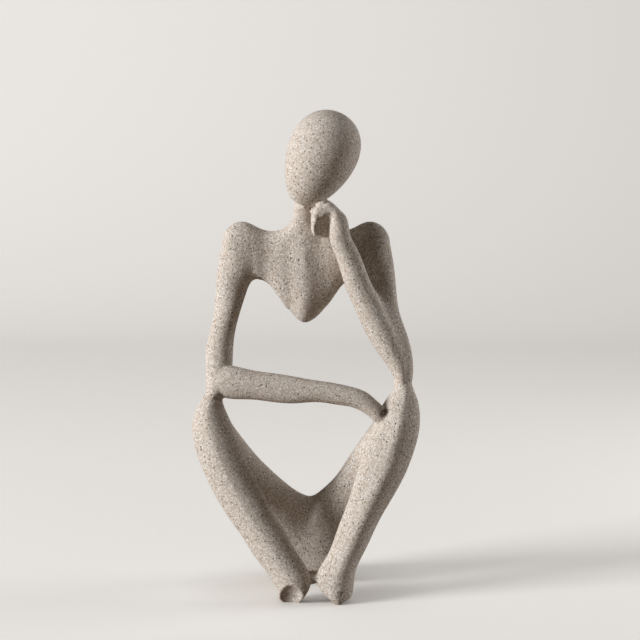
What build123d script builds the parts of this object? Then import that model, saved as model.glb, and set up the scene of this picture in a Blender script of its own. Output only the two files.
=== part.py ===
from build123d import *

import os
from dataclasses import dataclass
from math import cos, radians, sin

# Seated thinker figure cast in stone-filled resin, all sizes in millimetres.
# X runs to the figure's left, Y runs to its back, Z runs up from the rest plane.
# Seven castings are dowelled together with steel pins. The seat stands on a thin felt pad
# and the two feet stand on their own flat soles.

# Heights above the rest plane
shoulder_height = 200.6
right_elbow_height = 107.0
left_elbow_height = 113.0
crotch_height = 47.0

# Heights of the upper body from the top of the shoulders
collar_drop = 4.0
armpit_drop = 31.4
arm_root_drop = 42.6
chest_tip_drop = 54.4
neck_rise = 5.9
head_seat_rise = 10.5

# Spans sideways from the figure's middle
head_seat_offset = 2.9
neck_offset = 1.3
chest_tip_offset = 1.2
shoulder_half_span = 45.8
arm_root_half_span = 41.7
right_elbow_span = 49.6
left_elbow_span = 51.8
right_toe_span = 6.4
left_toe_span = 17.6
seat_offset = 1.5

# Set back behind the figure's middle plane, negative towards the front
head_set_back = -6.0
neck_set_back = -1.5
shoulder_set_back = 4.0
collar_set_back = 2.5
chest_tip_set_back = 6.0
arm_root_set_back = 2.0
elbow_set_back = -11.0
knee_set_back = -8.0
toe_set_back = -34.0
crotch_set_back = 15.0
seat_set_back = 22.0

# Head
head_length = 54.6
head_width = 38.2
head_tilt = 24.3
head_seat_depth = 2.2

# Neck, chest and shoulders
neck_width = 11.6
neck_thickness = 11.8
chest_thickness = 18.5
shoulder_thickness = 16.5
shoulder_joint_span = 28.0
shoulder_joint_drop = 16.6

# Arms
upper_arm_width = 15.8
upper_arm_thickness = 15.0
forearm_width = 13.0
forearm_thickness = 13.0
elbow_width = 10.2
elbow_thickness = 12.5
right_elbow_tilt = 27.0
left_elbow_tilt = 6.0
crossed_forearm_rise = 6.5
crossed_forearm_inset = 3.6

# The right hand lies on the left knee, measured from the left elbow
right_hand_inset = 11.8
right_hand_drop = 15.0
right_hand_reach = 8.0

# The left wrist stands beside the chin, measured from the head's seat on the neck
left_wrist_offset = 20.7
left_wrist_drop = 8.1
left_wrist_reach = 4.5
fist_span = 15.0
fist_thickness = 12.0
palm_length = 17.0
palm_width = 9.0
palm_thickness = 4.0

# Legs and seat
shin_width = 23.0
shin_thickness = 23.0
thigh_width = 23.0
thigh_thickness = 23.0
seat_thickness = 36.0
seat_burial = 10.0
hip_along_share = 0.66
hip_out_share = 0.24
hip_aim_along_share = 0.50
hip_aim_out_share = 0.40
toe_facet_tilt = 22.0
toe_facet_height = 9.0
toe_facet_set_back = -41.0

# Dowels and the bores that take them
pin_diameter = 3.0
pin_length = 18.0
fine_pin_diameter = 2.0
fine_pin_length = 6.0
pin_chamfer = 0.3
pin_clearance = 0.1
pin_end_clearance = 0.2

# Pad under the seat
pad_thickness = 0.8
seat_pad_length = 34.0
seat_pad_width = 17.0

# A cubic quarter arc is round when its handles reach this share of its radii
round_handle_share = 0.5523
even_share = 0.5
quarter = 90
backward = Vector(0, 1, 0)
upward = Vector(0, 0, 1)
leftward = Vector(1, 0, 0)


def between(start, end, share):
    """Point or length a share of the way from start to end."""
    return start + (end - start) * share


def rib(outer, inner, thickness, belly_share=even_share, crest_share=0):
    """Closed section between two edge points, in the plane that holds them and the depth.

    belly_share places the thickest line between the edges, and crest_share pulls the front
    of the section into a soft ridge.
    """
    across = (outer - inner).normalized()
    width = (outer - inner).length
    outer_reach = width * belly_share
    inner_reach = width - outer_reach
    half = thickness / 2
    crest = half * (1 - crest_share)
    outer_handle = outer_reach * round_handle_share
    inner_handle = inner_reach * round_handle_share
    side_handle = half * round_handle_share
    centre = between(outer, inner, belly_share)
    plane = Plane(origin=centre, x_dir=across, z_dir=across.cross(backward))
    with BuildSketch(plane) as profile:
        with BuildLine():
            EllipticalCenterArc((0, 0), outer_reach, half, 0, arc_size=quarter)
            EllipticalCenterArc((0, 0), inner_reach, half, quarter, arc_size=quarter)
            if crest_share == 0:
                EllipticalCenterArc((0, 0), inner_reach, half, 2 * quarter, arc_size=quarter)
                EllipticalCenterArc((0, 0), outer_reach, half, -quarter, arc_size=quarter)
            else:
                Bezier(
                    (-inner_reach, 0),
                    (-inner_reach, -side_handle),
                    (-inner_handle, -crest),
                    (0, -half),
                )
                Bezier(
                    (0, -half),
                    (outer_handle, -crest),
                    (outer_reach, -side_handle),
                    (outer_reach, 0),
                )
        make_face()
    return profile.sketch


@dataclass
class Limb:
    """A limb drawn on the line from joint to joint, square to the viewer's depth."""

    start: Vector
    end: Vector
    outward: Vector
    width: float
    thickness: float

    def point(self, along_share, side_share):
        """Point of the limb's outline: along the line, and out from it in limb widths."""
        chord = self.end - self.start
        side = chord.cross(backward).normalized()
        if side.dot(self.outward) < 0:
            side = side * -1
        return self.start + chord * along_share + side * (self.width * side_share)

    def ribs(self, rows, crest_share=0):
        """Sections from rows of outer edge, inner edge, thickness and bow shares."""
        sections = []
        for outer, inner, thickness_share, bow_share in rows:
            bow = backward * (self.thickness * bow_share)
            sections.append(
                rib(
                    self.point(*outer) + bow,
                    self.point(*inner) + bow,
                    self.thickness * thickness_share,
                    crest_share=crest_share,
                )
            )
        return sections


@dataclass
class Joint:
    """The plane that two castings meet on, and the dowel that crosses it at the centre."""

    centre: Vector
    direction: Vector
    diameter: float = pin_diameter
    length: float = pin_length
    lean: Vector = None

    @property
    def plane(self):
        return Plane(origin=self.centre, x_dir=backward, z_dir=self.direction)

    @property
    def place(self):
        """Place of the dowel, which leans along its own limb where that is given."""
        return Plane(origin=self.centre, x_dir=backward, z_dir=self.lean or self.direction).location


def bore(joint):
    """Cut the dowel's bore out of the casting that is being built."""
    with Locations(joint.place):
        Cylinder(
            joint.diameter / 2 + pin_clearance,
            joint.length + 2 * pin_end_clearance,
            mode=Mode.SUBTRACT,
        )


def dowel(joint):
    """Steel pin of a joint, chamfered at both ends."""
    with BuildPart() as pin:
        with Locations(joint.place):
            Cylinder(joint.diameter / 2, joint.length)
        chamfer(pin.edges().filter_by(GeomType.CIRCLE), pin_chamfer)
    return pin


# Landmarks of the figure
collar_height = shoulder_height - collar_drop
armpit_height = shoulder_height - armpit_drop
arm_root_height = shoulder_height - arm_root_drop
chest_tip_height = shoulder_height - chest_tip_drop
neck_height = shoulder_height + neck_rise
crown_direction = Vector(sin(radians(head_tilt)), 0, cos(radians(head_tilt)))
crown_across = backward.cross(crown_direction)
head_seat = Vector(-head_seat_offset, head_set_back, shoulder_height + head_seat_rise)
head_centre = head_seat + crown_direction * (head_length / 2 - head_seat_depth)
neck_root = Vector(-neck_offset, collar_set_back, collar_height)
right_elbow = Vector(-right_elbow_span, elbow_set_back, right_elbow_height)
left_elbow = Vector(left_elbow_span, elbow_set_back, left_elbow_height)
left_wrist = head_seat + Vector(left_wrist_offset, -left_wrist_reach, -left_wrist_drop)
right_hand = left_elbow - Vector(right_hand_inset, right_hand_reach, right_hand_drop)
crossed_forearm = right_elbow + Vector(crossed_forearm_inset, 0, crossed_forearm_rise)
seat_middle = Vector(seat_offset, seat_set_back, 0)

right_elbow_up = Vector(sin(radians(right_elbow_tilt)), 0, cos(radians(right_elbow_tilt)))
left_elbow_up = Vector(-sin(radians(left_elbow_tilt)), 0, cos(radians(left_elbow_tilt)))


def elbow_section(elbow, up, overrun=0):
    """Waist where an elbow rests on its knee, on the joint's plane or an overrun above it."""
    across = backward.cross(up)
    if across.X * elbow.X < 0:
        across = across * -1
    half = across * (elbow_width / 2)
    centre = elbow + up * overrun
    return rib(centre + half, centre - half, elbow_thickness)


# Limbs from joint to joint
right_upper_arm = Limb(
    right_elbow,
    Vector(-arm_root_half_span, arm_root_set_back, arm_root_height),
    leftward * -1,
    upper_arm_width,
    upper_arm_thickness,
)
left_upper_arm = Limb(
    left_elbow,
    Vector(arm_root_half_span, arm_root_set_back, arm_root_height),
    leftward,
    upper_arm_width,
    upper_arm_thickness,
)
right_forearm = Limb(
    crossed_forearm,
    right_hand,
    upward,
    forearm_width,
    forearm_thickness,
)
left_forearm = Limb(left_elbow, left_wrist, leftward, forearm_width, forearm_thickness)
right_shin = Limb(
    right_elbow,
    Vector(-right_toe_span, toe_set_back, 0),
    leftward * -1,
    shin_width,
    shin_thickness,
)
left_shin = Limb(
    left_elbow,
    Vector(left_toe_span, toe_set_back, 0),
    leftward,
    shin_width,
    shin_thickness,
)
right_thigh = Limb(
    right_elbow + backward * (knee_set_back - elbow_set_back),
    seat_middle,
    leftward * -1,
    thigh_width,
    thigh_thickness,
)
left_thigh = Limb(
    left_elbow + backward * (knee_set_back - elbow_set_back),
    seat_middle,
    leftward,
    thigh_width,
    thigh_thickness,
)

# Rows of shares: outer edge (along, out), inner edge (along, out), thickness, backward bow
right_upper_arm_shares = [
    ((0.17, 0.37), (0.23, -0.45), 0.92, 0.00),
    ((0.35, 0.49), (0.40, -0.44), 1.00, 0.00),
    ((0.66, 0.50), (0.70, -0.37), 1.00, 0.00),
    ((0.98, 0.49), (1.02, -0.49), 1.02, 0.00),
]
left_upper_arm_shares = [
    ((0.18, 0.52), (0.20, -0.28), 0.92, 0.00),
    ((0.33, 0.575), (0.36, -0.38), 1.00, 0.00),
    ((0.61, 0.54), (0.65, -0.44), 1.00, 0.00),
    ((0.97, 0.50), (1.03, -0.49), 1.02, 0.00),
]
right_forearm_shares = [
    ((-0.04, 0.62), (-0.01, -0.42), 0.80, 0.00),
    ((0.05, 0.85), (0.09, -0.52), 0.98, 0.00),
    ((0.19, 0.82), (0.22, -0.38), 1.00, 0.00),
    ((0.35, 0.87), (0.37, -0.31), 1.00, 0.00),
    ((0.50, 0.885), (0.50, -0.16), 0.96, 0.00),
    ((0.66, 0.925), (0.65, 0.05), 0.90, 0.00),
    ((0.81, 0.90), (0.79, 0.09), 0.88, 0.00),
    ((0.88, 0.82), (0.84, 0.06), 0.86, 0.00),
    ((0.93, 0.67), (0.90, -0.06), 0.82, 0.00),
    ((1.00, 0.38), (0.96, -0.29), 0.72, 0.00),
    ((1.04, 0.10), (1.01, -0.34), 0.50, 0.00),
]
left_forearm_shares = [
    ((0.10, 0.52), (0.09, -0.24), 1.00, 0.00),
    ((0.20, 0.58), (0.20, -0.44), 1.08, 0.05),
    ((0.31, 0.50), (0.30, -0.61), 1.10, 0.10),
    ((0.42, 0.42), (0.41, -0.70), 1.10, 0.16),
    ((0.53, 0.34), (0.52, -0.74), 1.10, 0.20),
    ((0.63, 0.29), (0.62, -0.77), 1.10, 0.20),
    ((0.73, 0.28), (0.72, -0.72), 1.04, 0.16),
    ((0.81, 0.24), (0.80, -0.70), 0.96, 0.10),
    ((0.88, 0.18), (0.89, -0.70), 0.90, 0.02),
    ((0.94, 0.26), (0.95, -0.57), 0.86, 0.00),
    ((1.00, 0.28), (0.99, -0.41), 0.88, 0.00),
]
right_knee_shares = [
    ((0.02, 0.48), (0.06, -0.13), 0.84, 0.00),
    ((0.10, 0.75), (0.14, -0.15), 1.02, 0.00),
    ((0.20, 0.85), (0.22, -0.17), 1.04, 0.00),
    ((0.32, 0.86), (0.32, -0.17), 1.00, 0.00),
    ((0.45, 0.79), (0.44, -0.21), 0.94, 0.00),
    ((0.58, 0.65), (0.56, -0.28), 0.90, 0.00),
    ((0.70, 0.51), (0.67, -0.38), 0.87, 0.00),
    ((0.80, 0.375), (0.77, -0.46), 0.84, 0.00),
    ((0.88, 0.275), (0.86, -0.55), 0.80, 0.00),
    ((0.94, 0.255), (0.93, -0.57), 0.74, -0.02),
    ((0.99, 0.215), (0.98, -0.385), 0.62, -0.05),
    ((1.03, 0.12), (1.015, -0.09), 0.46, -0.06),
]
left_knee_shares = [
    ((0.03, 0.40), (0.06, -0.215), 0.80, 0.00),
    ((0.09, 0.57), (0.14, -0.34), 0.98, 0.00),
    ((0.17, 0.68), (0.20, -0.38), 1.04, 0.00),
    ((0.27, 0.70), (0.28, -0.43), 1.02, 0.00),
    ((0.38, 0.65), (0.38, -0.44), 0.97, 0.00),
    ((0.50, 0.51), (0.49, -0.44), 0.92, 0.00),
    ((0.62, 0.36), (0.60, -0.46), 0.88, 0.00),
    ((0.74, 0.26), (0.72, -0.51), 0.84, 0.00),
    ((0.83, 0.18), (0.81, -0.55), 0.80, 0.00),
    ((0.89, 0.20), (0.88, -0.65), 0.76, 0.00),
    ((0.94, 0.245), (0.93, -0.66), 0.72, -0.02),
    ((0.975, 0.18), (0.98, -0.39), 0.62, -0.05),
    ((1.01, 0.09), (1.01, -0.04), 0.44, -0.06),
]
# Thigh rows end with a belly share in place of the bow
right_thigh_shares = [
    ((0.13, 0.60), (0.10, -0.06), 0.72, 0.50),
    ((0.22, 0.82), (0.17, -0.06), 0.88, 0.50),
    ((0.37, 0.90), (0.30, -0.17), 0.96, 0.48),
    ((0.54, 0.98), (0.40, -0.30), 1.04, 0.45),
    ((0.74, 0.88), (0.51, -0.50), 1.16, 0.42),
    ((0.93, 0.78), (0.58, -0.66), 1.32, 0.40),
]
left_thigh_shares = [
    ((0.12, 0.62), (0.09, -0.10), 0.74, 0.50),
    ((0.23, 0.80), (0.18, -0.20), 0.88, 0.50),
    ((0.38, 0.88), (0.30, -0.30), 0.96, 0.48),
    ((0.54, 0.96), (0.41, -0.39), 1.04, 0.45),
    ((0.76, 0.82), (0.52, -0.48), 1.16, 0.42),
    ((0.94, 0.80), (0.60, -0.64), 1.32, 0.40),
]
# Shoulder rows: outer (across, up), inner (across, up), thickness share of the shoulder
arm_root_shares = [
    ((1.06, 0.08), (0.70, -0.25), 0.94),
    ((1.00, 0.63), (0.665, -0.10), 1.00),
]
yoke_shares = [
    ((0.88, 0.95), (0.62, -0.015), 1.00),
    ((0.727, 1.00), (0.572, 0.00), 0.94),
    ((0.583, 0.91), (0.513, -0.03), 0.88),
    ((0.452, 0.845), (0.441, -0.12), 0.84),
]
# Chest rows go on the same way, with the thickness as a share of the chest
chest_shares = [
    ((0.31, 0.86), (0.345, -0.37), 0.80),
    ((0.18, 0.89), (0.215, -0.705), 0.92),
]
# Neck rows: height from collar to neck top, half width, thickness, set back, tilt of the head
neck_shares = [
    (-1.60, 1.10, 1.00, 0.00, 0.00),
    (-0.30, 1.25, 1.22, 0.00, 0.00),
    (0.00, 1.00, 1.20, 0.06, 0.00),
    (0.26, 0.69, 1.12, 0.20, 0.10),
    (0.62, 0.53, 1.05, 0.50, 0.40),
    (1.00, 0.49, 1.02, 0.95, 0.80),
]
# The head's egg: where it is widest, and the handles of its two outline curves
head_belly_share = 0.20
chin_round_share = 0.51
chin_rise_share = 0.42
crown_rise_share = 0.68
crown_round_share = 0.50
# Palm centre, knuckle and pin places, in fist spans from the wrist or shares of the forearm
palm_shares = (-0.50, 0.12, -0.17)
knuckle_shares = (-0.62, 0.13, 0.30)
chin_reach_share = 0.82
hand_pin_shares = (0.97, 0.05)
# Fist rows: outer (across, up) and inner (across, up) from the wrist in fist spans, thickness
fist_shares = [
    ((0.10, 0.21), (-0.31, 0.03), 1.00),
    ((-0.13, 0.44), (-0.40, 0.15), 1.00),
    ((-0.42, 0.62), (-0.52, 0.19), 0.97),
    ((-0.79, 0.50), (-0.62, 0.14), 0.93),
    ((-1.00, 0.05), (-0.64, -0.08), 0.84),
    ((-1.00, -0.36), (-0.62, -0.38), 0.72),
    ((-0.985, -0.50), (-0.64, -0.51), 0.66),
    ((-0.92, -0.64), (-0.72, -0.64), 0.40),
]


def shoulder_point(side, across_share, rise_share, set_back):
    """Point of the shoulder girdle, above or below the level of the armpits."""
    reach = shoulder_height if rise_share > 0 else chest_tip_height
    rise = (reach - armpit_height) * abs(rise_share)
    return Vector(side * shoulder_half_span * across_share, set_back, armpit_height + rise)


def shoulder_ribs(side, rows):
    """Fan of sections over the shoulder, from the arm's side to the chest's."""
    sections = []
    for outer, inner, share in rows:
        sections.append(
            rib(
                shoulder_point(side, *outer, shoulder_set_back),
                shoulder_point(side, *inner, shoulder_set_back),
                shoulder_thickness * share,
            )
        )
    return sections


def chest_ribs(side):
    """Upright sections from the armpit to the keel, leaning back towards the tip."""
    sections = []
    for outer, inner, share in chest_shares:
        lean = between(collar_set_back, chest_tip_set_back, -inner[1])
        sections.append(
            rib(
                shoulder_point(side, *outer, collar_set_back),
                shoulder_point(side, *inner, lean),
                chest_thickness * share,
            )
        )
    return sections


keel = rib(
    Vector(-chest_tip_offset, collar_set_back, collar_height),
    Vector(-chest_tip_offset, chest_tip_set_back, chest_tip_height),
    chest_thickness,
)

right_yoke_ribs = shoulder_ribs(-1, yoke_shares) + chest_ribs(-1)
left_yoke_ribs = shoulder_ribs(1, yoke_shares) + chest_ribs(1)
torso_ribs = right_yoke_ribs + [keel] + left_yoke_ribs[::-1]

# An arm's sections run on into the yoke, which carries its form across the shoulder joint
right_upper_arm_ribs = (
    [elbow_section(right_elbow, right_elbow_up)]
    + right_upper_arm.ribs(right_upper_arm_shares)
    + shoulder_ribs(-1, arm_root_shares)
    + right_yoke_ribs
)
left_upper_arm_ribs = (
    [elbow_section(left_elbow, left_elbow_up)]
    + left_upper_arm.ribs(left_upper_arm_shares)
    + shoulder_ribs(1, arm_root_shares)
    + left_yoke_ribs
)


def thigh_ribs(thigh, rows):
    """Sections of a thigh that widens from the knee into the seat."""
    sections = []
    for outer, inner, thickness_share, belly_share in rows:
        thickness = thigh.thickness * thickness_share
        sections.append(rib(thigh.point(*outer), thigh.point(*inner), thickness, belly_share))
    return sections


seat_belly_share = 0.4
seat_rib = rib(
    Vector(seat_offset, seat_set_back, -seat_burial),
    Vector(seat_offset, crotch_set_back, crotch_height),
    seat_thickness,
    seat_belly_share,
)
hammock_ribs = (
    thigh_ribs(right_thigh, right_thigh_shares)
    + [seat_rib]
    + thigh_ribs(left_thigh, left_thigh_shares)[::-1]
)

# A knee's form runs on past the elbow joint, whose plane then cuts it flat
knee_overrun_share = 0.12
shin_crest_share = 0.10
knee_overrun = elbow_thickness * knee_overrun_share
right_shin_ribs = [elbow_section(right_elbow, right_elbow_up, knee_overrun)]
right_shin_ribs += right_shin.ribs(right_knee_shares, shin_crest_share)
left_shin_ribs = [elbow_section(left_elbow, left_elbow_up, knee_overrun)]
left_shin_ribs += left_shin.ribs(left_knee_shares, shin_crest_share)

right_forearm_ribs = right_forearm.ribs(right_forearm_shares)


def fist_ribs():
    """Hook of the bent wrist and fingers, from the wrist over the top to the finger tips."""
    sections = []
    for outer, inner, share in fist_shares:
        outer_point = left_wrist + Vector(outer[0], 0, outer[1]) * fist_span
        inner_point = left_wrist + Vector(inner[0], 0, inner[1]) * fist_span
        sections.append(rib(outer_point, inner_point, fist_thickness * share))
    return sections


left_forearm_ribs = [elbow_section(left_elbow, left_elbow_up)]
left_forearm_ribs += left_forearm.ribs(left_forearm_shares)
left_forearm_ribs += fist_ribs()

neck_ribs = []
for rise_share, width_share, thickness_share, lean_share, tilt_share in neck_shares:
    middle = Vector(
        -neck_offset,
        between(collar_set_back, neck_set_back, lean_share),
        between(collar_height, neck_height, rise_share),
    )
    half = between(leftward, crown_across, tilt_share).normalized() * (neck_width * width_share)
    neck_ribs.append(rib(middle - half, middle + half, neck_thickness * thickness_share))
seat_across = crown_across * (neck_width / 2)
neck_ribs.append(rib(head_seat - seat_across, head_seat + seat_across, neck_thickness))

# Joints between the castings
neck_joint = Joint(head_seat, crown_direction, lean=(head_seat - neck_root).normalized())
shoulder_joint_height = shoulder_height - shoulder_joint_drop
right_shoulder_joint = Joint(
    Vector(-shoulder_joint_span, shoulder_set_back, shoulder_joint_height), leftward
)
left_shoulder_joint = Joint(
    Vector(shoulder_joint_span, shoulder_set_back, shoulder_joint_height), leftward * -1
)
right_elbow_joint = Joint(right_elbow, right_elbow_up)
left_elbow_joint = Joint(left_elbow, left_elbow_up)

# Finger tips of the right hand on the left knee, and knuckles of the fist under the chin
right_hand_tip = right_forearm.point(*hand_pin_shares)
right_hand_joint = Joint(
    right_hand_tip, (left_shin.start - right_hand_tip).normalized(), fine_pin_diameter, fine_pin_length
)
chin_direction = (left_wrist + Vector(*knuckle_shares) * fist_span - head_centre).normalized()
chin_reach = head_length / 2 * chin_reach_share
left_hand_joint = Joint(
    head_centre + chin_direction * chin_reach, chin_direction, fine_pin_diameter, fine_pin_length
)


def hip_joint(thigh):
    """Joint square to the thigh, where it grows out of the seat."""
    centre = thigh.point(hip_along_share, hip_out_share)
    return Joint(centre, (thigh.point(hip_aim_along_share, hip_aim_out_share) - centre).normalized())


right_hip_joint = hip_joint(right_thigh)
left_hip_joint = hip_joint(left_thigh)

# Both thighs and the seat are one form from knee to knee, which the hip joints divide
with BuildPart() as hammock:
    loft(hammock_ribs)
    split(bisect_by=Plane.XY.offset(pad_thickness), keep=Keep.TOP)

middle_plane = Plane(origin=seat_middle, z_dir=leftward)

with BuildPart() as right_thigh_form:
    add(hammock.part)
    split(bisect_by=middle_plane, keep=Keep.BOTTOM)
    split(bisect_by=right_hip_joint.plane, keep=Keep.TOP)

with BuildPart() as left_thigh_form:
    add(hammock.part)
    split(bisect_by=middle_plane, keep=Keep.TOP)
    split(bisect_by=left_hip_joint.plane, keep=Keep.TOP)

# Egg-shaped head, widest a little above its middle and slimmer towards the chin
crown_reach = head_length / 2 * (1 - head_belly_share)
chin_depth = head_length - crown_reach
head_half = head_width / 2
belly_centre = head_centre + crown_direction * (head_length / 2 * head_belly_share)

with BuildPart() as head_casting:
    with BuildSketch(Plane(origin=belly_centre, x_dir=crown_across, z_dir=backward * -1)):
        with BuildLine():
            Bezier(
                (0, -chin_depth),
                (head_half * chin_round_share, -chin_depth),
                (head_half, -chin_depth * chin_rise_share),
                (head_half, 0),
            )
            Bezier(
                (head_half, 0),
                (head_half, crown_reach * crown_rise_share),
                (head_half * crown_round_share, crown_reach),
                (0, crown_reach),
            )
            Line((0, crown_reach), (0, -chin_depth))
        make_face()
    revolve(axis=Axis(head_centre, crown_direction))
    split(bisect_by=neck_joint.plane, keep=Keep.TOP)
    bore(neck_joint)
    bore(left_hand_joint)

# Chest between the shoulder joints, with the neck
with BuildPart() as torso_casting:
    loft(torso_ribs)
    split(bisect_by=right_shoulder_joint.plane, keep=Keep.TOP)
    split(bisect_by=left_shoulder_joint.plane, keep=Keep.TOP)
    loft(neck_ribs)
    bore(right_shoulder_joint)
    bore(left_shoulder_joint)
    bore(neck_joint)

# The right toes are cut off by a facet that looks down and to the front
toe_facet_direction = Vector(0, -cos(radians(toe_facet_tilt)), -sin(radians(toe_facet_tilt)))
toe_facet = Plane(
    origin=Vector(0, toe_facet_set_back, toe_facet_height), x_dir=leftward, z_dir=toe_facet_direction
)

# Legs: thigh and shin folded together at the knee, the foot cut flat where it stands
with BuildPart() as right_leg_casting:
    add(right_thigh_form.part)
    loft(right_shin_ribs)
    split(bisect_by=right_elbow_joint.plane, keep=Keep.BOTTOM)
    split(bisect_by=toe_facet, keep=Keep.BOTTOM)
    split(bisect_by=Plane.XY, keep=Keep.TOP)
    bore(right_hip_joint)
    bore(right_elbow_joint)

with BuildPart() as left_leg_casting:
    add(left_thigh_form.part)
    loft(left_shin_ribs)
    split(bisect_by=left_elbow_joint.plane, keep=Keep.BOTTOM)
    split(bisect_by=Plane.XY, keep=Keep.TOP)
    bore(left_hip_joint)
    bore(left_elbow_joint)
    bore(right_hand_joint)

with BuildPart() as pelvis_casting:
    add(hammock.part)
    add(right_thigh_form.part, mode=Mode.SUBTRACT)
    add(left_thigh_form.part, mode=Mode.SUBTRACT)
    bore(right_hip_joint)
    bore(left_hip_joint)

# Right arm: upper arm, elbow and crossed forearm, its finger tips on the left knee
with BuildPart() as right_arm_casting:
    loft(right_upper_arm_ribs)
    split(bisect_by=right_shoulder_joint.plane, keep=Keep.BOTTOM)
    loft(right_forearm_ribs)
    add(left_leg_casting.part, mode=Mode.SUBTRACT)
    bore(right_shoulder_joint)
    bore(right_elbow_joint)
    bore(right_hand_joint)

# The palm closes the back of the curled fist and leaves a cup open to the front
palm_centre = left_wrist + Vector(*palm_shares) * fist_span
palm_plane = Plane(origin=palm_centre, x_dir=leftward, z_dir=backward)

# Left arm: upper arm, raised forearm and the fist under the chin
with BuildPart() as left_arm_casting:
    loft(left_upper_arm_ribs)
    split(bisect_by=left_shoulder_joint.plane, keep=Keep.BOTTOM)
    loft(left_forearm_ribs)
    with BuildSketch(palm_plane):
        Ellipse(palm_width / 2, palm_length / 2)
    extrude(amount=palm_thickness)
    add(torso_casting.part, mode=Mode.SUBTRACT)
    add(head_casting.part, mode=Mode.SUBTRACT)
    bore(left_shoulder_joint)
    bore(left_elbow_joint)
    bore(left_hand_joint)

with BuildPart() as seat_pad:
    with BuildSketch(Plane(origin=seat_middle, x_dir=leftward, z_dir=upward)):
        Ellipse(seat_pad_length / 2, seat_pad_width / 2)
    extrude(amount=pad_thickness)

pieces = {
    "head": head_casting,
    "torso": torso_casting,
    "pelvis": pelvis_casting,
    "right_leg": right_leg_casting,
    "left_leg": left_leg_casting,
    "right_arm": right_arm_casting,
    "left_arm": left_arm_casting,
    "neck_pin": dowel(neck_joint),
    "right_shoulder_pin": dowel(right_shoulder_joint),
    "left_shoulder_pin": dowel(left_shoulder_joint),
    "right_elbow_pin": dowel(right_elbow_joint),
    "left_elbow_pin": dowel(left_elbow_joint),
    "right_hip_pin": dowel(right_hip_joint),
    "left_hip_pin": dowel(left_hip_joint),
    "right_hand_pin": dowel(right_hand_joint),
    "left_hand_pin": dowel(left_hand_joint),
    "seat_pad": seat_pad,
}

# The origin lies on the rest plane, under the middle of the whole figure's box
whole = Compound([piece.part for piece in pieces.values()]).bounding_box()
placement = Location(Vector(-whole.center().X, -whole.center().Y, 0))

os.makedirs("parts", exist_ok=True)
for name, piece in pieces.items():
    piece.part.locate(placement)
    piece.part.label = name
    export_step(piece.part, f"parts/{name}.step")
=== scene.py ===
import logging
import math
from dataclasses import dataclass, field
from enum import Enum

import bmesh
import bpy
from mathutils import Euler, Matrix, Vector
from mathutils.bvhtree import BVHTree
from mathutils.kdtree import KDTree


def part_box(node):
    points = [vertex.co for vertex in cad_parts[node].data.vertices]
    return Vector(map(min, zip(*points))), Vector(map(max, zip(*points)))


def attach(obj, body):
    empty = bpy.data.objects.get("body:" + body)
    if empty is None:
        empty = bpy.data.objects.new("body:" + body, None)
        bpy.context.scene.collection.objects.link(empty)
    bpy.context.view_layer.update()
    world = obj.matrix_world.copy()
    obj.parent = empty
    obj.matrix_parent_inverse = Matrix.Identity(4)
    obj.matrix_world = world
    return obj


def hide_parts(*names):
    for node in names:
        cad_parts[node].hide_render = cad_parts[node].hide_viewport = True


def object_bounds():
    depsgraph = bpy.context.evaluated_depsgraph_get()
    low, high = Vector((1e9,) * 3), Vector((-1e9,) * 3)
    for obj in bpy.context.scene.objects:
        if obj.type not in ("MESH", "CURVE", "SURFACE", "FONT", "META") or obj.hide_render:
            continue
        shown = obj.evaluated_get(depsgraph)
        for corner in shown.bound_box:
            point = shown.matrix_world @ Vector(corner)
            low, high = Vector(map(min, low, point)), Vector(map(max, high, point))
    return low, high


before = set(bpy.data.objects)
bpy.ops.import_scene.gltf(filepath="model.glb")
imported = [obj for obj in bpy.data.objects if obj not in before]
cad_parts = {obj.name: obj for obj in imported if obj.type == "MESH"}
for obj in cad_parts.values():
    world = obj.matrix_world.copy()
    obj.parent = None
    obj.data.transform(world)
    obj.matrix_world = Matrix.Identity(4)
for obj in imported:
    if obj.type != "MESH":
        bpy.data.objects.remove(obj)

MM = 0.001
CAD_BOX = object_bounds()

log = logging.getLogger("thinker")


class Finish(Enum):
    """Material slot names for the pieces that are made new here; nothing in the script uses them.
    """

    RESIN = "cast_resin"
    FELT = "felt"


class Casting(Enum):
    """The seven castings that make up the figure."""

    HEAD = "head"
    TORSO = "torso"
    PELVIS = "pelvis"
    RIGHT_LEG = "right_leg"
    LEFT_LEG = "left_leg"
    RIGHT_ARM = "right_arm"
    LEFT_ARM = "left_arm"


class Falloff(Enum):
    """How a stroke of the modelling tool dies out from its line to its edge."""

    SOFT = "soft"
    FOLD = "fold"

    def weight(self, share: float) -> float:
        """Give the stroke's strength at a share of its radius.

        Args:
            share: Zero on the stroke's line, one at its edge.

        Returns:
            One on the line, falling to zero.
        """
        if self is Falloff.SOFT:
            return (1 - share * share) ** 2
        blunt = 0.09
        return (math.hypot(1, blunt) - math.hypot(share, blunt)) / (math.hypot(1, blunt) - blunt)


def srgb(code: str) -> tuple[float, float, float, float]:
    """Turn an sRGB hex colour into the linear colour that a socket takes.

    Args:
        code: Six hex digits after a hash mark.

    Returns:
        Linear red, green and blue, and an alpha of one.
    """
    channels = [int(code[place : place + 2], 16) / 255 for place in (1, 3, 5)]
    linear = [c / 12.92 if c <= 0.04045 else ((c + 0.055) / 1.055) ** 2.4 for c in channels]
    return (*linear, 1.0)


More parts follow.
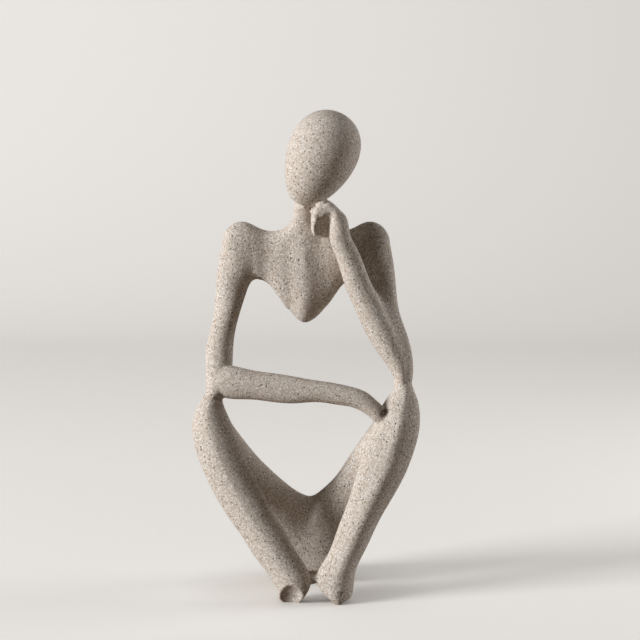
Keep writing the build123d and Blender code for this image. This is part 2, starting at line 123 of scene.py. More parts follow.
def add_node(
    tree: bpy.types.NodeTree, kind: str, settings: dict | None = None, links: dict | None = None
) -> bpy.types.Node:
    """Add a node to a tree, set its properties and sockets, and link its inputs.

    Args:
        tree: The node tree that gets the node.
        kind: The node's type name without its ShaderNode prefix.
        settings: Property names, or input names or numbers, with their values.
        links: Input names or numbers, with the output sockets that feed them.

    Returns:
        The new node.
    """
    node = tree.nodes.new("ShaderNode" + kind)
    for name, value in (settings or {}).items():
        if isinstance(name, str) and hasattr(node, name):
            setattr(node, name, value)
        else:
            node.inputs[name].default_value = value
    for name, socket in (links or {}).items():
        tree.links.new(socket, node.inputs[name])
    return node


def new_material(name: str) -> tuple[bpy.types.Material, bpy.types.NodeTree, bpy.types.NodeSocket]:
    """Start an empty node material that reads Object coordinates.

    Args:
        name: The material's plain name.

    Returns:
        The material, its emptied tree and the Object coordinate socket.
    """
    material = bpy.data.materials.new(name)
    material.use_nodes = True
    tree = material.node_tree
    tree.nodes.clear()
    place = add_node(tree, "TexCoord")
    return material, tree, place.outputs["Object"]


def finish_material(tree: bpy.types.NodeTree, shader: bpy.types.Node) -> None:
    """Lead a shader to the tree's output."""
    add_node(tree, "OutputMaterial", links={"Surface": shader.outputs[0]})


def seen_directly(tree: bpy.types.NodeTree) -> bpy.types.NodeSocket:
    """Tell the rays that show a surface from those that only carry its light.

    Args:
        tree: The node tree that asks.

    Returns:
        A socket that is one for camera, glossy and transmission rays.
    """
    ray = add_node(tree, "LightPath")
    mirrored = add_node(
        tree,
        "Math",
        {"operation": "MAXIMUM"},
        {0: ray.outputs["Is Glossy Ray"], 1: ray.outputs["Is Transmission Ray"]},
    )
    direct = add_node(
        tree,
        "Math",
        {"operation": "MAXIMUM"},
        {0: ray.outputs["Is Camera Ray"], 1: mirrored.outputs[0]},
    )
    return direct.outputs[0]


@dataclass(frozen=True)
class Grain:
    """One kind of grain in the cast stone mix: cells of a real size, some of which show.

    Args:
        colour: Hex colour of the grain.
        cell_mm: Distance between neighbouring places that may hold a grain.
        amount: Share of the places that hold one.
        radius: Radius of a grain as a share of the cell.
        strength: How opaque the grain is in the resin.
    """

    colour: str
    cell_mm: float
    amount: float
    radius: float
    strength: float


@dataclass(frozen=True)
class SandstoneResin:
    """Polyester resin filled with stone grains, cast in a mould and left matt.

    The eye gets a warm beige ground with white, tan and dark grains half a millimetre to a
    millimetre wide, a sandy tooth and a few pits where air bubbles broke at the mould's wall,
    whose floors are darkened with painted shade.
    """

    pale: str = "#E4DBD1"
    deep: str = "#B3A699"
    mottle_mm: float = 1.1
    mottle_ramp: tuple[float, float] = (0.34, 0.66)
    sand_mm: float = 0.9
    sand_depth_mm: float = 0.34
    sand_strength: float = 0.8
    wave_mm: float = 18.0
    wave_depth_mm: float = 0.15
    pit_cell_mm: float = 6.5
    pit_amount: float = 0.20
    pit_radius: float = 0.075
    pit_floor: float = 0.4
    pit_depth_mm: float = 0.40
    # Dark colour of the pit floors: painted shade inside the pits
    pit_shade_colour: str = "#5F544B"
    roughness: float = 0.88
    grain_edge: float = 0.8
    grain_raise: float = 0.35
    grain_shift_mm: tuple[float, float, float] = (13.0, 29.0, 7.0)
    grains: tuple[Grain, ...] = (
        Grain("#7E7063", 0.95, 0.24, 0.42, 0.65),
        Grain("#FFFFFF", 0.90, 0.34, 0.40, 1.00),
        Grain("#96602F", 1.40, 0.26, 0.28, 0.85),
        Grain("#1F1D1C", 1.45, 0.26, 0.29, 0.97),
    )

    def material(self) -> bpy.types.Material:
        """Build the resin's node material.

        Returns:
            The material of the castings.
        """
        material, tree, place = new_material("stone_filled_cast_resin")
        mottle = add_node(
            tree,
            "TexNoise",
            {"Scale": 1 / (self.mottle_mm * MM), "Detail": 3.0, "Roughness": 0.6},
            {"Vector": place},
        )
        ground = add_node(tree, "ValToRGB", links={"Fac": mottle.outputs["Fac"]})
        for stop, place_on_ramp, tone in zip(
            ground.color_ramp.elements, self.mottle_ramp, (self.deep, self.pale)
        ):
            stop.position = place_on_ramp
            stop.color = srgb(tone)
        sand = add_node(
            tree,
            "TexNoise",
            {"Scale": 1 / (self.sand_mm * MM), "Detail": 2.5, "Roughness": 0.65},
            {"Vector": place},
        )
        colour = ground.outputs["Color"]
        height = sand.outputs["Fac"]
        for number, grain in enumerate(self.grains):
            colour, height = self.add_grain(tree, place, grain, number, colour, height)
        pit = self.pit_mask(tree, place)
        # Painted shade: the floors of the pits take the dark pit colour in place of the shade
        # inside them
        colour = add_node(
            tree,
            "Mix",
            {"data_type": "RGBA", 7: srgb(self.pit_shade_colour)},
            {0: pit, 6: colour},
        ).outputs[2]
        wave = add_node(
            tree, "TexNoise", {"Scale": 1 / (self.wave_mm * MM), "Detail": 1.0}, {"Vector": place}
        )
        hand = add_node(
            tree,
            "Bump",
            {"Strength": 1.0, "Distance": self.wave_depth_mm * MM},
            {"Height": wave.outputs["Fac"]},
        )
        tooth = add_node(
            tree,
            "Bump",
            {"Strength": self.sand_strength, "Distance": self.sand_depth_mm * MM},
            {"Height": height, "Normal": hand.outputs["Normal"]},
        )
        sunk = add_node(
            tree,
            "Bump",
            {"Strength": 1.0, "Distance": self.pit_depth_mm * MM, "invert": True},
            {"Height": pit, "Normal": tooth.outputs["Normal"]},
        )
        shader = add_node(
            tree,
            "BsdfPrincipled",
            {"Roughness": self.roughness, "IOR": 1.5, "Specular IOR Level": 0.35},
            {"Base Color": colour, "Normal": sunk.outputs["Normal"]},
        )
        finish_material(tree, shader)
        return material

    def add_grain(
        self,
        tree: bpy.types.NodeTree,
        place: bpy.types.NodeSocket,
        grain: Grain,
        number: int,
        colour: bpy.types.NodeSocket,
        height: bpy.types.NodeSocket,
    ) -> tuple[bpy.types.NodeSocket, bpy.types.NodeSocket]:
        """Scatter one kind of grain over the colour and the height so far.

        Args:
            tree: The resin's node tree.
            place: Object coordinates.
            grain: The kind of grain.
            number: Its number, which shifts its pattern away from the others.
            colour: Colour socket so far.
            height: Height socket so far.

        Returns:
            The new colour and height sockets.
        """
        along, across, up = self.grain_shift_mm
        shift = add_node(
            tree,
            "Mapping",
            {"Location": (along * MM * number, across * MM * number, up * MM)},
            {"Vector": place},
        )
        cells = add_node(
            tree,
            "TexVoronoi",
            {"Scale": 1 / (grain.cell_mm * MM)},
            {"Vector": shift.outputs["Vector"]},
        )
        chosen = add_node(
            tree,
            "Math",
            {"operation": "LESS_THAN", 1: grain.amount},
            {0: cells.outputs["Color"]},
        )
        body = add_node(
            tree,
            "MapRange",
            {
                "From Min": grain.radius,
                "From Max": grain.radius * self.grain_edge,
                "To Max": grain.strength,
            },
            {"Value": cells.outputs["Distance"]},
        )
        mask = add_node(
            tree,
            "Math",
            {"operation": "MULTIPLY"},
            {0: chosen.outputs[0], 1: body.outputs[0]},
        )
        mixed = add_node(
            tree,
            "Mix",
            {"data_type": "RGBA", 7: srgb(grain.colour)},
            {0: mask.outputs[0], 6: colour},
        )
        raised = add_node(
            tree,
            "Math",
            {"operation": "MULTIPLY_ADD", 1: self.grain_raise},
            {0: mask.outputs[0], 2: height},
        )
        return mixed.outputs[2], raised.outputs[0]

    def pit_mask(
        self, tree: bpy.types.NodeTree, place: bpy.types.NodeSocket
    ) -> bpy.types.NodeSocket:
        """Mask the small pits.

        Args:
            tree: The resin's node tree.
            place: Object coordinates.

        Returns:
            A socket that is one on the floor of a pit.
        """
        cells = add_node(
            tree, "TexVoronoi", {"Scale": 1 / (self.pit_cell_mm * MM)}, {"Vector": place}
        )
        chosen = add_node(
            tree,
            "Math",
            {"operation": "LESS_THAN", 1: self.pit_amount},
            {0: cells.outputs["Color"]},
        )
        hollow = add_node(
            tree,
            "MapRange",
            {"From Min": self.pit_radius, "From Max": self.pit_radius * self.pit_floor},
            {"Value": cells.outputs["Distance"]},
        )
        mask = add_node(
            tree,
            "Math",
            {"operation": "MULTIPLY"},
            {0: chosen.outputs[0], 1: hollow.outputs[0]},
        )
        return mask.outputs[0]


@dataclass(frozen=True)
class DrawnSteel:
    """Mild steel wire drawn to size and cut into dowels.

    The eye gets a grey satin metal with fine marks, between which the gloss varies a little.
    """

    colour: str = "#A7A6A2"
    mark_mm: float = 0.25
    mark_depth_mm: float = 0.02
    smoothest: float = 0.26
    roughest: float = 0.46

    def material(self) -> bpy.types.Material:
        """Build the steel's node material.

        Returns:
            The material of the pins.
        """
        material, tree, place = new_material("drawn_mild_steel")
        marks = add_node(
            tree,
            "TexNoise",
            {"Scale": 1 / (self.mark_mm * MM), "Detail": 4.0},
            {"Vector": place},
        )
        gloss = add_node(
            tree,
            "MapRange",
            {"To Min": self.smoothest, "To Max": self.roughest},
            {"Value": marks.outputs["Fac"]},
        )
        relief = add_node(
            tree,
            "Bump",
            {"Strength": 0.3, "Distance": self.mark_depth_mm * MM},
            {"Height": marks.outputs["Fac"]},
        )
        shader = add_node(
            tree,
            "BsdfPrincipled",
            {"Base Color": srgb(self.colour), "Metallic": 1.0},
            {"Roughness": gloss.outputs[0], "Normal": relief.outputs["Normal"]},
        )
        finish_material(tree, shader)
        return material


@dataclass(frozen=True)
class WoolFelt:
    """Pressed wool felt with a short matted nap, in charcoal with paler fibres."""

    dark: str = "#2B2826"
    light: str = "#5A5550"
    fibre_mm: float = 0.6
    nap_mm: float = 0.15

    def material(self) -> bpy.types.Material:
        """Build the felt's node material.

        Returns:
            The material of the pad.
        """
        material, tree, place = new_material("pressed_wool_felt")
        fibre = add_node(
            tree,
            "TexNoise",
            {"Scale": 1 / (self.fibre_mm * MM), "Detail": 6.0, "Distortion": 2.5},
            {"Vector": place},
        )
        tone = add_node(tree, "ValToRGB", links={"Fac": fibre.outputs["Fac"]})
        tone.color_ramp.elements[0].color = srgb(self.dark)
        tone.color_ramp.elements[1].color = srgb(self.light)
        nap = add_node(
            tree,
            "Bump",
            {"Strength": 0.8, "Distance": self.nap_mm * MM},
            {"Height": fibre.outputs["Fac"]},
        )
        shader = add_node(
            tree,
            "BsdfPrincipled",
            {"Roughness": 0.95, "Sheen Weight": 0.3},
            {"Base Color": tone.outputs["Color"], "Normal": nap.outputs["Normal"]},
        )
        finish_material(tree, shader)
        return material


@dataclass(frozen=True)
class MattPaper:
    """Seamless matt paper under and behind the figure, uncoated and without a sheen.

    To the camera it gets a painted glow towards white, a little more towards the back. The glow
    fades where something stands close over the paper, which paints a darker contact shade around
    the figure, so that the figure keeps its shadow.
    """

    colour: str = "#E4E1DC"
    painted_glow: str = "#F4F3F1"
    bounce: str = "#6C5844"
    near_mm: float = -100.0
    far_mm: float = 1500.0
    near_lift: float = 0.34
    far_lift: float = 0.46
    contact_shade_mm: float = 45.0
    roughness: float = 0.9

    def material(self) -> bpy.types.Material:
        """Build the paper, pale to the camera with its painted glow and painted contact shade, and
        quieter in the light that it throws back.

        Returns:
            The material of the stage.
        """
        material, tree, place = new_material("seamless_matt_paper")
        parts = add_node(tree, "SeparateXYZ", links={"Vector": place})
        lift = add_node(
            tree,
            "MapRange",
            {
                "From Min": self.near_mm * MM,
                "From Max": self.far_mm * MM,
                "To Min": self.near_lift,
                "To Max": self.far_lift,
            },
            {"Value": parts.outputs["Y"]},
        )
        # Painted contact shade: ambient occlusion dims the glow where the figure stands close over
        # the paper
        painted_contact_shade = add_node(
            tree, "AmbientOcclusion", {"Distance": self.contact_shade_mm * MM, "samples": 8}
        )
        painted_glow_strength = add_node(
            tree, "Math", {"operation": "MULTIPLY"}, {0: lift.outputs[0], 1: painted_contact_shade.outputs["AO"]}
        )
        sheet, quiet = [
            add_node(
                tree, "BsdfPrincipled", {"Base Color": srgb(tone), "Roughness": self.roughness}
            )
            for tone in (self.colour, self.bounce)
        ]
        # Painted glow: the paper gives off light to the camera though it is no lamp
        painted_glow = add_node(
            tree, "Emission", {"Color": srgb(self.painted_glow)}, {"Strength": painted_glow_strength.outputs[0]}
        )
        pale = add_node(tree, "AddShader", links={0: sheet.outputs[0], 1: painted_glow.outputs[0]})
        shader = add_node(
            tree,
            "MixShader",
            links={0: seen_directly(tree), 1: quiet.outputs[0], 2: pale.outputs[0]},
        )
        finish_material(tree, shader)
        return material


@dataclass(frozen=True)
class Ball:
    """An egg-shaped form that is poured onto the figure or scooped out of it.

    Args:
        centre_mm: Its centre in the frame.
        radii_mm: Its radii along its own X, Y and Z.
        turn: Its turns about X, Y and Z in degrees, the last of which is made first.
        wall_mm: The X past which it doesn't reach, where it is cut flat.
        fineness: How often its faces are divided.
    """

    centre_mm: tuple[float, float, float]
    radii_mm: tuple[float, float, float]
    turn: tuple[float, float, float] = (0.0, 0.0, 0.0)
    wall_mm: float | None = None
    fineness: int = 4

    def shape(self) -> bmesh.types.BMesh:
        """Build the closed form.

        Returns:
            Its bmesh, in metres in the frame.
        """
        ball = bmesh.new()
        bmesh.ops.create_icosphere(ball, subdivisions=self.fineness, radius=MM)
        turned = Euler([math.radians(angle) for angle in self.turn], "ZYX").to_matrix()
        bmesh.ops.scale(ball, vec=self.radii_mm, verts=ball.verts)
        bmesh.ops.rotate(ball, matrix=turned, verts=ball.verts)
        bmesh.ops.translate(ball, vec=Vector(self.centre_mm) * MM, verts=ball.verts)
        if self.wall_mm is not None:
            bmesh.ops.bisect_plane(
                ball,
                geom=ball.verts[:] + ball.edges[:] + ball.faces[:],
                plane_co=(self.wall_mm * MM, 0, 0),
                plane_no=(1, 0, 0),
                clear_outer=True,
            )
            rim = [edge for edge in ball.edges if edge.is_boundary]
            bmesh.ops.holes_fill(ball, edges=rim, sides=0)
        return ball


@dataclass(frozen=True)
class Stroke:
    """One stroke of the modelling tool along a line on the front of the figure.

    Args:
        path_mm: Points of the line as seen from the front, X and Z in the frame.
        radius_mm: How far the tool reaches to either side.
        lift_mm: How far the skin comes out on the line, negative where it is pressed in.
        falloff: How the stroke dies out sideways.
        rounds: How many times the skin under the tool is rubbed smooth.
        step_mm: Distance between the points of the line on the skin.
        bend_rounds: How many times the corners of the path are rounded.
        back_limit: How far the skin may face to the back and still be under the tool.
        front_mm: The Y in front of the figure from which the path is laid on it.
        rub_share: How far a point goes to the mean of its neighbours in each round.
    """

    path_mm: tuple[tuple[float, float], ...]
    radius_mm: float
    lift_mm: float = 0.0
    falloff: Falloff = Falloff.SOFT
    rounds: int = 0
    step_mm: float = 0.3
    bend_rounds: int = 20
    back_limit: float = 0.5
    front_mm: float = -200.0
    rub_share: float = 0.5

    def line(self, tree: BVHTree) -> list[Vector]:
        """Lay the path on the front of the skin.

        Args:
            tree: The skin's faces.

        Returns:
            Points on the skin, close together, with the path's corners rounded.
        """
        flat = [Vector(self.path_mm[0])]
        for start, end in zip(self.path_mm, self.path_mm[1:]):
            steps = max(1, round((Vector(end) - Vector(start)).length / self.step_mm))
            flat += [Vector(start).lerp(Vector(end), (step + 1) / steps) for step in range(steps)]
        for _ in range(self.bend_rounds):
            middle = [(a + b * 2 + c) / 4 for a, b, c in zip(flat, flat[1:], flat[2:])]
            flat = [flat[0], *middle, flat[-1]]
        laid = []
        for point in flat:
            start = Vector((point.x, self.front_mm, point.y)) * MM
            place = tree.ray_cast(start, Vector((0, 1, 0)))[0]
            if place is not None:
                laid.append(place)
        return laid

    def press(self, skin: bmesh.types.BMesh, tree: BVHTree, places: KDTree) -> None:
        """Draw the stroke on the skin.

        Args:
            skin: The closed shell.
            tree: Its faces before the strokes.
            places: Its points before the strokes.
        """
        reach = self.radius_mm * MM
        near: dict[int, float] = {}
        for point in self.line(tree):
            for _, index, distance in places.find_range(point, reach):
                near[index] = min(distance, near.get(index, reach))
        under = [index for index in near if skin.verts[index].normal.y < self.back_limit]
        for index in under:
            vert = skin.verts[index]
            lift = self.lift_mm * MM * self.falloff.weight(near[index] / reach)
            vert.co += vert.normal * lift
        if self.rounds:
            self.rub([skin.verts[index] for index in under])
        skin.normal_update()

    def rub(self, under: list[bmesh.types.BMVert]) -> None:
        """Rub the skin smooth, each point towards the mean of its neighbours.

        Args:
            under: The points under the tool.
        """
        beside = [[edge.other_vert(vert) for edge in vert.link_edges] for vert in under]
        for _ in range(self.rounds):
            means = [
                sum((other.co for other in others), Vector()) / len(others) for others in beside
            ]
            for vert, mean in zip(under, means):
                vert.co = vert.co.lerp(mean, self.rub_share)


@dataclass(frozen=True)
class Marks:
    """What the modeller did on the figure: forms added, scooped out and drawn."""

    added: tuple[Ball, ...] = (
        # Web behind the curled fingers, heel of the hand, and resin from them to the neck
        Ball((10.0, -5.0, 199.8), (4.5, 5.6, 6.4)),
        Ball((9.6, -8.8, 205.4), (5.0, 4.9, 4.2)),
        Ball((4.7, -4.6, 207.2), (2.2, 2.8, 3.4)),
        # Resin that ran between the feet
        Ball((4.4, -30.0, 12.4), (3.4, 3.2, 1.6), (0.0, 28.0, 0.0)),
        Ball((4.0, -29.0, 10.2), (1.5, 2.2, 1.2), (0.0, -20.0, 0.0)),
        # Outer corner of the right toes
        Ball((-11.4, -31.2, 5.6), (3.8, 5.4, 5.6)),
    )
    scooped: tuple[Ball, ...] = (
        # Cup of the curled fingers, and the air below it
        Ball((15.6, -20.3, 196.0), (14.0, 14.0, 11.0), wall_mm=12.8),
        Ball((9.8, -9.0, 187.8), (4.6, 6.0, 6.6), wall_mm=12.8),
        # Dark crease between the knuckles and the chin
        Ball((8.7, -15.6, 210.0), (3.4, 2.8, 1.0), (0.0, -23.0, 0.0)),
        # Pit past the right finger tips
        Ball((42.4, -20.6, 100.6), (2.7, 3.6, 3.9), (0.0, 32.0, 0.0)),
        # Rounded underside of the seat, behind the feet
        Ball((3.5, -4.0, 1.0), (13.0, 14.0, 8.6)),
        # Hollow end of the right toes
        Ball((-8.6, -46.0, -1.0), (10.4, 14.0, 14.0)),
        # Pit in the left toes
        Ball((18.4, -38.9, 5.9), (1.1, 1.7, 1.6)),
        # Chip in the bowl of the seat
        Ball((-4.9, 2.5, 22.8), (1.2, 0.9, 0.9)),
    )
    drawn: tuple[Stroke, ...] = (
        # Crease under the egg, and between the knuckles and the chin
        Stroke(
            ((-7.0, 210.9), (-4.3, 209.7), (-1.4, 209.0), (1.6, 208.2), (4.0, 208.0)),
            1.9,
            -0.8,
            Falloff.FOLD,
        ),
        Stroke(((4.3, 208.7), (6.5, 209.8), (8.6, 210.3), (10.2, 210.8), (11.8, 211.9)), 1.5, -0.9),
        # Heel of the hand, rubbed level
        Stroke(((6.0, 206.5), (9.6, 207.2), (12.5, 206.0)), 3.0, rounds=25),
        # The chest, rubbed level on both sides of its keel, and the keel
        Stroke(((-10.0, 188.0), (-10.0, 177.0), (-5.5, 167.0)), 9.0, rounds=160),
        Stroke(((8.0, 185.0), (9.0, 172.0)), 7.0, rounds=120),
        Stroke(
            ((-0.8, 184.0), (0.0, 178.0), (1.0, 168.0), (1.2, 158.3), (0.5, 151.0)),
            11.0,
            2.0,
        ),
        # Crisp lower right edge of the chest and the underside beneath it
        Stroke(
            ((-27.0, 173.2), (-23.3, 170.8), (-18.7, 167.3), (-15.1, 161.8), (-10.6, 154.3)),
            2.4,
            0.5,
            Falloff.FOLD,
        ),
        Stroke(((-25.0, 170.0), (-20.4, 165.9), (-16.8, 160.9), (-12.2, 153.6)), 1.5, -0.6),
        # Ridges of the shins
        Stroke(
            (
                (-50.1, 95.7),
                (-45.6, 85.4),
                (-39.3, 71.5),
                (-32.1, 56.9),
                (-24.2, 44.0),
                (-17.1, 32.9),
                (-11.8, 25.2),
                (-4.7, 16.6),
            ),
            8.0,
            0.3,
            Falloff.FOLD,
        ),
        Stroke(
            (
                (50.9, 94.5),
                (44.6, 71.7),
                (36.6, 55.5),
                (29.5, 40.1),
                (23.3, 26.2),
                (19.8, 16.8),
                (18.5, 8.0),
            ),
            7.5,
            1.2,
            Falloff.FOLD,
        ),
        # Groove between the right calf and the thigh outside it
        Stroke(
            ((-44.1, 50.7), (-39.2, 43.5), (-32.2, 34.2), (-25.2, 25.9), (-19.4, 19.4)),
            0.9,
            -0.6,
            Falloff.FOLD,
        ),
        # Crease under the right elbow
        Stroke(((-54.5, 108.0), (-52.4, 107.3), (-48.6, 106.3), (-45.2, 106.2)), 2.2, -0.9),
        # The left forearm melts into the upper arm below its middle
        Stroke(
            (
                (36.0, 172.0),
                (38.8, 167.0),
                (42.0, 160.5),
                (45.3, 153.2),
                (49.1, 145.8),
                (51.0, 132.0),
            ),
            5.0,
            rounds=150,
        ),
    )

    def draw(self, skin: bmesh.types.BMesh) -> None:
        """Draw every stroke on the poured skin.

        Args:
            skin: The closed shell.
        """
        tree = BVHTree.FromBMesh(skin)
        places = KDTree(len(skin.verts))
        for vert in skin.verts:
            places.insert(vert.co, vert.index)
        places.balance()
        for stroke in self.drawn:
            stroke.press(skin, tree, places)


def link(name: str, shape: bmesh.types.BMesh) -> bpy.types.Object:
    """Turn a bmesh into an object of the scene, and free the bmesh.

    Args:
        name: The object's name.
        shape: The finished bmesh, in metres in the frame.

    Returns:
        The new object, which stands at the origin.
    """
    mesh = bpy.data.meshes.new(name)
    shape.to_mesh(mesh)
    shape.free()
    piece = bpy.data.objects.new(name, mesh)
    bpy.context.scene.collection.objects.link(piece)
    return piece


def dress(piece: bpy.types.Object, material: bpy.types.Material) -> None:
    """Give a piece one material in place of those it has."""
    piece.data.materials.clear()
    piece.data.materials.append(material)


@dataclass
class CastSkin:
    """The one continuous skin of the figure, poured over the castings and divided at their joints.

    The castings are merged, their joints are closed over and softened as the finish coat does,
    the modeller's marks are made, and each part of the skin goes to the casting that lies under it.
    """

    voxel_mm: float = 0.5
    soften_factor: float = 0.5
    soften_rounds: int = 8
    weld_mm: float = 0.001
    reach_mm: float = 3.0
    search_mm: float = 1000.0
    majority_rounds: int = 4
    marks: Marks = field(default_factory=Marks)

    def merged_copy(self, casting: Casting) -> bmesh.types.BMesh:
        """Copy a casting's mesh and merge its loose triangles.

        Args:
            casting: The casting to copy.

        Returns:
            The merged bmesh.
        """
        copy = bmesh.new()
        copy.from_mesh(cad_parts[casting.value].data)
        bmesh.ops.remove_doubles(copy, verts=copy.verts, dist=self.weld_mm * MM)
        return copy

    def joined(self, name: str, shapes: list[bmesh.types.BMesh]) -> bpy.types.Object:
        """Put several closed forms into one object, and free them.

        Args:
            name: The object's name.
            shapes: The closed forms.

        Returns:
            The object that holds them all.
        """
        whole = bmesh.new()
        for shape in shapes:
            carrier = bpy.data.meshes.new("carrier")
            shape.to_mesh(carrier)
            shape.free()
            whole.from_mesh(carrier)
            bpy.data.meshes.remove(carrier)
        return link(name, whole)

    def poured(self) -> bmesh.types.BMesh:
        """Pour the skin over all castings and added forms, scoop it out and draw on it.

        Returns:
            One closed, softened shell.
        """
        shapes = [self.merged_copy(casting) for casting in Casting]
        shapes += [ball.shape() for ball in self.marks.added]
        mould = self.joined("mould", shapes)
        spoons = self.joined("spoons", [ball.shape() for ball in self.marks.scooped])
        for name in ("pour", "settle"):
            remesh = mould.modifiers.new(name, "REMESH")
            remesh.mode = "VOXEL"
            remesh.voxel_size = self.voxel_mm * MM
            if name == "pour":
                scoop = mould.modifiers.new("scoop", "BOOLEAN")
                scoop.operation = "DIFFERENCE"
                scoop.solver = "MANIFOLD"
                scoop.object = spoons
        soften = mould.modifiers.new("soften", "SMOOTH")
        soften.factor = self.soften_factor
        soften.iterations = self.soften_rounds
        graph = bpy.context.evaluated_depsgraph_get()
        skin = bmesh.new()
        skin.from_object(mould, graph)
        bpy.data.objects.remove(mould)
        bpy.data.objects.remove(spoons)
        skin.verts.ensure_lookup_table()
        skin.verts.index_update()
        skin.normal_update()
        self.marks.draw(skin)
        log.info("skin poured with %d faces", len(skin.faces))
        return skin

    def owners(self, skin: bmesh.types.BMesh) -> list[int]:
        """Find the casting that lies under each face of the skin.

        Args:
            skin: The closed shell.

        Returns:
            For each face, the number of its casting.
        """
        trees = []
        for casting in Casting:
            shape = self.merged_copy(casting)
            tree = BVHTree.FromBMesh(shape)
            shape.free()
            low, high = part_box(casting.value)
            margin = Vector((1, 1, 1)) * self.reach_mm * MM
            trees.append((tree, low - margin, high + margin))
        found = []
        for face in skin.faces:
            centre = face.calc_center_median()
            best = (self.search_mm * MM, 0)
            for number, (tree, low, high) in enumerate(trees):
                if all(low[i] <= centre[i] <= high[i] for i in range(3)):
                    distance = tree.find_nearest(centre, best[0])[3]
                    if distance is not None and distance < best[0]:
                        best = (distance, number)
            found.append(best[1])
        return self.smoothed_owners(skin, found)

    def smoothed_owners(self, skin: bmesh.types.BMesh, found: list[int]) -> list[int]:
        """Let each face join most of its neighbours, so that the joints run evenly.

        Args:
            skin: The closed shell.
            found: For each face, the number of the casting under it.

        Returns:
            For each face, the number of its casting.
        """
        neighbours = []
        for face in skin.faces:
            around = [other for edge in face.edges for other in edge.link_faces]
            neighbours.append([other.index for other in around if other is not face])
        for _ in range(self.majority_rounds):
            changed = list(found)
            for number, beside in enumerate(neighbours):
                votes = [found[other] for other in beside]
                top = max(set(votes), key=votes.count)
                if votes.count(top) > len(votes) // 2:
                    changed[number] = top
            found = changed
        return found

    def divide(self, skin: bmesh.types.BMesh, material: bpy.types.Material) -> None:
        """Cut the skin into one closed piece for each casting.

        Args:
            skin: The closed shell, which is freed.
            material: The finish of every piece.
        """
        skin.faces.ensure_lookup_table()
        skin.faces.index_update()
        owner = self.owners(skin)
        for number, casting in enumerate(Casting):
            share = skin.copy()
            share.faces.ensure_lookup_table()
            others = [share.faces[i] for i in range(len(owner)) if owner[i] != number]
            bmesh.ops.delete(share, geom=others, context="FACES")
            rim = [edge for edge in share.edges if edge.is_boundary]
            for face in share.faces:
                face.smooth = True
            bmesh.ops.holes_fill(share, edges=rim, sides=0)
            for edge in rim:
                edge.smooth = False
            piece = link(casting.value + "_skin", share)
            dress(piece, material)
            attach(piece, "root")
            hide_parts(casting.value)
            log.info("%s: %d faces", piece.name, len(piece.data.polygons))
        skin.free()


@dataclass
class Dowels:
    """The steel pins inside the castings, which keep their own shape."""

    names: tuple[str, ...] = (
        "neck_pin",
        "right_shoulder_pin",
        "left_shoulder_pin",
        "right_elbow_pin",
        "left_elbow_pin",
        "right_hip_pin",
        "left_hip_pin",
        "right_hand_pin",
        "left_hand_pin",
    )

    def build(self) -> None:
        """Dress the pins in drawn steel."""
        steel = DrawnSteel().material()
        for name in self.names:
            dress(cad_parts[name], steel)
            log.info("%s dressed", name)


@dataclass
class SeatPad:
    """Oval felt pad under the seat, cut with a slightly crushed edge."""

    segments: int = 96
    edge_mm: float = 0.25
    edge_segments: int = 3
    crisp_angle: float = 1.0

    def build(self) -> None:
        """Cut the pad to the size of the one it stands for."""
        low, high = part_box("seat_pad")
        size = high - low
        felt = bmesh.new()
        oval = bmesh.ops.create_circle(felt, cap_ends=True, segments=self.segments, radius=0.5)
        middle = ((low.x + high.x) / 2, (low.y + high.y) / 2, low.z)
        bmesh.ops.scale(felt, vec=(size.x, size.y, 1.0), verts=oval["verts"])
        bmesh.ops.translate(felt, vec=middle, verts=oval["verts"])
        grown = bmesh.ops.extrude_face_region(felt, geom=felt.faces[:])
        top = [item for item in grown["geom"] if isinstance(item, bmesh.types.BMVert)]
        bmesh.ops.translate(felt, vec=(0, 0, size.z), verts=top)
        bmesh.ops.recalc_face_normals(felt, faces=felt.faces[:])
        closed = [edge for edge in felt.edges if edge.is_manifold]
        rims = [edge for edge in closed if edge.calc_face_angle() > self.crisp_angle]
        bmesh.ops.bevel(
            felt,
            geom=rims,
            offset=self.edge_mm * MM,
            segments=self.edge_segments,
            affect="EDGES",
            profile=0.5,
            material=-1,
        )
        piece = link("seat_pad_felt", felt)
        dress(piece, WoolFelt().material())
        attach(piece, "root")
        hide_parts("seat_pad")
        log.info("seat_pad_felt built")


@dataclass(frozen=True)
class Lamp:
    """A soft square lamp that looks at the middle of the figure.

    Args:
        name: Its name.
        place_mm: Where it hangs in the frame.
        size_mm: Its side.
        power: Its power in watts.
    """

    name: str
    place_mm: tuple[float, float, float]
    size_mm: float
    power: float

    def hang(self) -> None:
        """Hang the lamp and turn it to the figure."""
        lamp = bpy.data.lights.new(self.name, "AREA")
        lamp.shape = "SQUARE"
        lamp.size = self.size_mm * MM
        lamp.energy = self.power
        holder = bpy.data.objects.new(self.name, lamp)
        bpy.context.scene.collection.objects.link(holder)
        place = Vector(self.place_mm) * MM
        target = (Vector(CAD_BOX[0]) + Vector(CAD_BOX[1])) / 2
        aim = (target - place).to_track_quat("-Z", "Y")
        holder.matrix_world = Matrix.LocRotScale(place, aim, None)


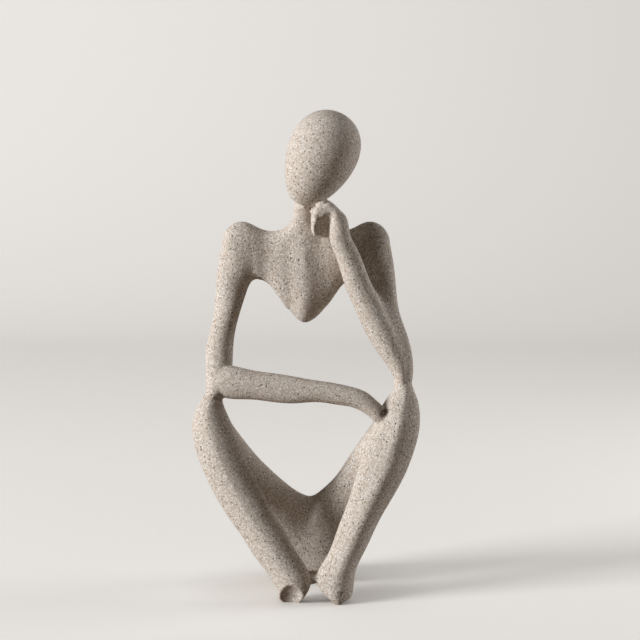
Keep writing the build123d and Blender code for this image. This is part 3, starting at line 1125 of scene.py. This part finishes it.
@dataclass
class Studio:
    """Plain pale floor that sweeps up behind the figure, soft lamps and the camera."""

    camera_distance_mm: float = 847.74
    camera_height_mm: float = 215.0
    camera_side_mm: float = 7.54
    camera_tilt: float = 4.557
    lens: float = 88.13
    sensor: float = 36.0
    floor_width_mm: float = 6000.0
    floor_front_mm: float = 2000.0
    floor_back_mm: float = 1400.0
    sweep_radius_mm: float = 700.0
    wall_height_mm: float = 3000.0
    sweep_segments: int = 24
    room: str = "#F0DAC2"
    room_level: float = 0.05
    wall: str = "#DBD8D4"
    lamps: tuple[Lamp, ...] = (
        Lamp("key_lamp", (-2160.0, -972.0, 778.0), 864.0, 71.0),
        Lamp("rim_lamp", (1000.0, 200.0, 330.0), 500.0, 4.6),
        Lamp("top_lamp", (0.0, 300.0, 1300.0), 900.0, 0.9),
    )

    def build(self) -> None:
        """Build the stage, the lamps, the world and the camera."""
        self.add_floor()
        for lamp in self.lamps:
            lamp.hang()
        self.add_world()
        self.add_camera()

    def add_floor(self) -> None:
        """Sweep one sheet from the floor up into the back wall."""
        sheet = bmesh.new()
        width = self.floor_width_mm * MM
        front = -self.floor_front_mm * MM
        back = self.floor_back_mm * MM
        radius = self.sweep_radius_mm * MM
        start = [sheet.verts.new((side * width / 2, front, 0)) for side in (-1, 1)]
        edge = sheet.edges.new(start)
        run = bmesh.ops.extrude_edge_only(sheet, edges=[edge])
        ends = [item for item in run["geom"] if isinstance(item, bmesh.types.BMVert)]
        bmesh.ops.translate(sheet, vec=(0, back - front, 0), verts=ends)
        last = [item for item in run["geom"] if isinstance(item, bmesh.types.BMEdge)]
        rim = [item for item in last if all(vert in ends for vert in item.verts)]
        curl = bmesh.ops.spin(
            sheet,
            geom=rim,
            cent=(0, back, radius),
            axis=(1, 0, 0),
            angle=math.pi / 2,
            steps=self.sweep_segments,
        )
        top = [item for item in curl["geom_last"] if isinstance(item, bmesh.types.BMEdge)]
        wall = bmesh.ops.extrude_edge_only(sheet, edges=top)
        ends = [item for item in wall["geom"] if isinstance(item, bmesh.types.BMVert)]
        bmesh.ops.translate(sheet, vec=(0, 0, self.wall_height_mm * MM), verts=ends)
        bmesh.ops.recalc_face_normals(sheet, faces=sheet.faces[:])
        for face in sheet.faces:
            face.smooth = True
        floor = link("studio_floor", sheet)
        dress(floor, MattPaper().material())

    def add_world(self) -> None:
        """Fill the room with a dim, even light that the camera and mirrors see as the pale wall."""
        world = bpy.data.worlds.new("studio_world")
        world.use_nodes = True
        tree = world.node_tree
        tree.nodes.clear()
        dim = add_node(
            tree, "Background", {"Color": srgb(self.room), "Strength": self.room_level}
        )
        wall = add_node(tree, "Background", {"Color": srgb(self.wall), "Strength": 1.0})
        shown = add_node(
            tree,
            "MixShader",
            links={0: seen_directly(tree), 1: dim.outputs[0], 2: wall.outputs[0]},
        )
        add_node(tree, "OutputWorld", links={"Surface": shown.outputs[0]})
        bpy.context.scene.world = world

    def add_camera(self) -> None:
        """Stand the camera where the photograph was taken from."""
        lens = bpy.data.cameras.new("studio_camera")
        lens.lens = self.lens
        lens.sensor_width = self.sensor
        camera = bpy.data.objects.new("studio_camera", lens)
        bpy.context.scene.collection.objects.link(camera)
        place = (self.camera_side_mm, -self.camera_distance_mm, self.camera_height_mm)
        camera.location = Vector(place) * MM
        camera.rotation_euler = (math.radians(90 - self.camera_tilt), 0, 0)
        bpy.context.scene.camera = camera


def main() -> None:
    """Build the figure and the studio, and report each piece."""
    logging.basicConfig(level=logging.INFO, format="%(message)s")
    bpy.context.scene.view_settings.view_transform = "Standard"
    resin = SandstoneResin().material()
    skin = CastSkin()
    skin.divide(skin.poured(), resin)
    Dowels().build()
    SeatPad().build()
    Studio().build()


if __name__ == "__main__":
    main()
